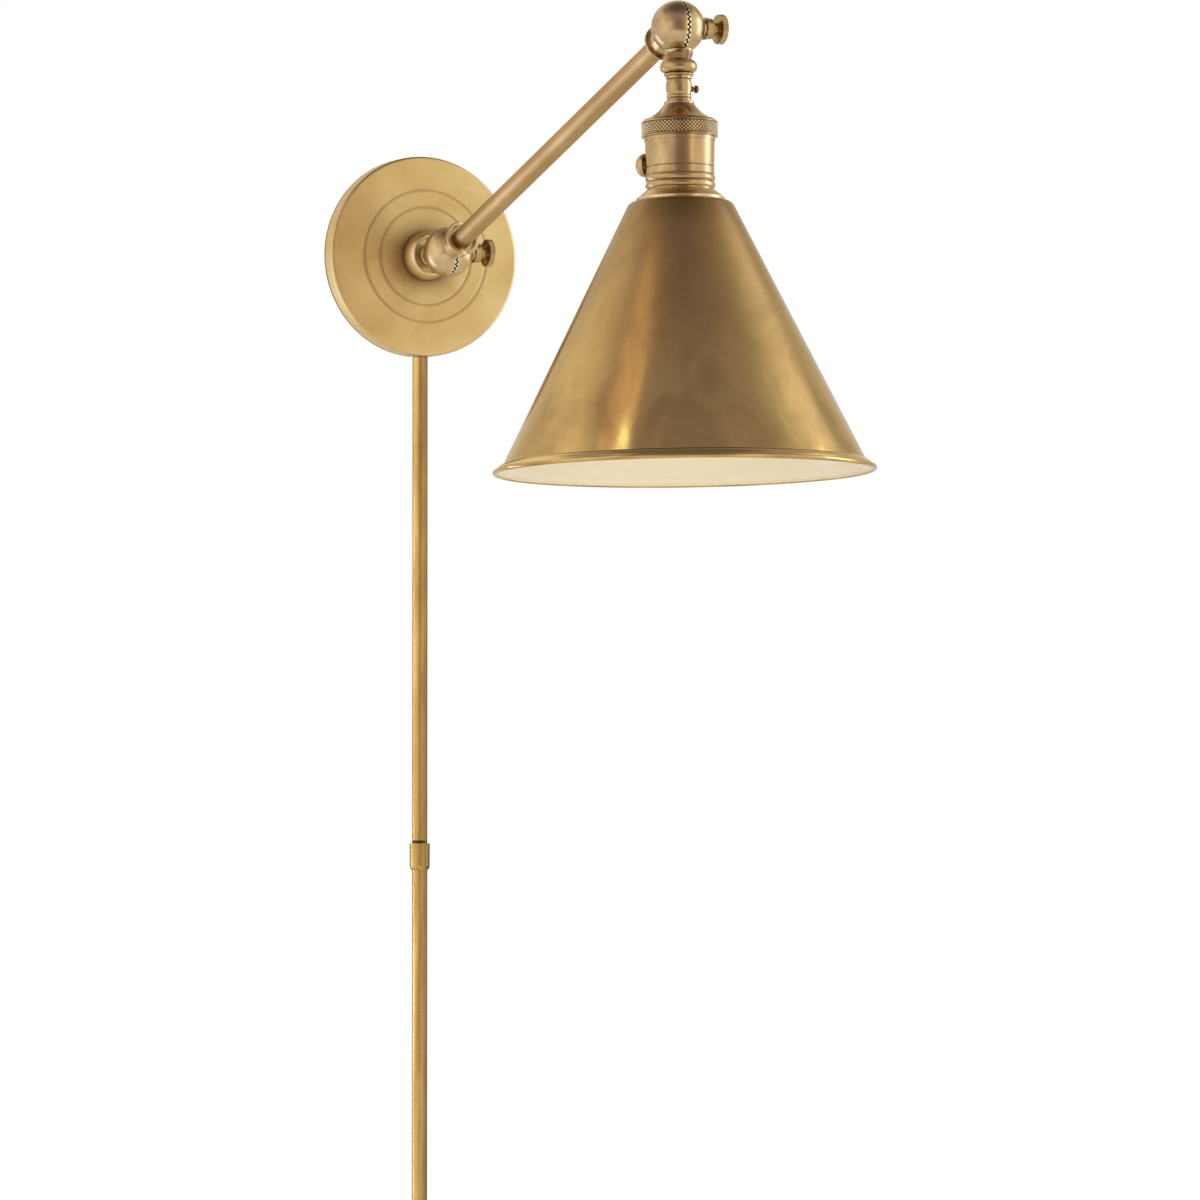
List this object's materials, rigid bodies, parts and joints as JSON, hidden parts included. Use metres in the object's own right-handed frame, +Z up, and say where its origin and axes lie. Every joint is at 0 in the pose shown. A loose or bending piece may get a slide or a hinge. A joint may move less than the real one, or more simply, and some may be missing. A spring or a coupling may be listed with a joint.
{
  "type": "library wall light",
  "caption": "Brass library wall light: round plate, straight arm between serrated ball knuckles, cone shade with white enamel inside, and a cord cover down the wall.",
  "frame": {"origin": "middle of the wall plate on the wall plane, between the strap's two slots", "axes": "+Z up, -Y out of the wall, +X to the right of someone who faces the wall"},
  "size_m": [0.2032, 0.4667, 0.7636],
  "materials": {
    "plate_brass": "satin",
    "arm_brass": "satin",
    "knuckle_brass": "satin",
    "socket_brass": "satin",
    "shade_brass": "hand rubbed, white enamel inside",
    "cover_brass": "polished",
    "contact_brass": "plain",
    "zinc_steel": "zinc plated",
    "moulded_core": "moulded",
    "fibre_board": "plain",
    "nylon": "moulded"
  },
  "bodies": {
    "wall": {"backplate": "plate_brass", "mounting_strap": "zinc_steel", "strap_nut": "zinc_steel", "wall_nipple": "zinc_steel", "nipple_bushing": "nylon", "hub": "knuckle_brass", "wall_knuckle": "knuckle_brass", "cord_cover_upper": "cover_brass", "cord_cover_lower": "cover_brass", "cord_cover_coupling": "cover_brass"},
    "arm": {"arm_knuckle_lower": "knuckle_brass", "arm_tube": "arm_brass", "arm_knuckle_upper": "knuckle_brass", "lower_spring_washer": "knuckle_brass", "lower_cup_washer": "knuckle_brass"},
    "lower_thumbscrew": {"lower_thumbscrew": "knuckle_brass"},
    "head": {"head_knuckle": "knuckle_brass", "upper_spring_washer": "knuckle_brass", "upper_cup_washer": "knuckle_brass", "stem_bead": "socket_brass", "stem_nipple": "zinc_steel", "socket_cap": "socket_brass", "cap_set_screw": "socket_brass", "knurled_ring": "socket_brass", "socket_body": "socket_brass", "socket_liner": "fibre_board", "socket_core": "moulded_core", "terminal_screws": "contact_brass", "screw_shell": "contact_brass", "centre_contact": "contact_brass", "switch_bush": "socket_brass", "shade_fitter": "socket_brass", "shade": "shade_brass", "shade_ring": "socket_brass"},
    "upper_thumbscrew": {"upper_thumbscrew": "knuckle_brass"},
    "switch": {"switch_shaft": "zinc_steel", "switch_knob": "socket_brass"}
  },
  "joints": [
    {"name": "arm_pitch", "type": "hinge", "parent": "wall", "child": "arm", "pos_m": [0, -0.0465, 0], "axis": [-1, 0, 0], "range_deg": [-48, 60]},
    {"name": "lower_thumbscrew_turn", "type": "hinge", "parent": "wall", "child": "lower_thumbscrew", "pos_m": [0, -0.0465, 0], "axis": [1, 0, 0], "range_deg": [0, 360]},
    {"name": "head_tilt", "type": "hinge", "parent": "arm", "child": "head", "pos_m": [0, -0.35696, 0.0961], "axis": [-1, 0, 0], "range_deg": [-8, 84]},
    {"name": "upper_thumbscrew_turn", "type": "hinge", "parent": "arm", "child": "upper_thumbscrew", "pos_m": [0, -0.35696, 0.0961], "axis": [1, 0, 0], "range_deg": [0, 360]},
    {"name": "switch_turn", "type": "hinge", "parent": "head", "child": "switch", "pos_m": [0, -0.35949, 0.02375], "axis": [-0.6428, 0.7656, -0.0267], "continuous": true}
  ]
}
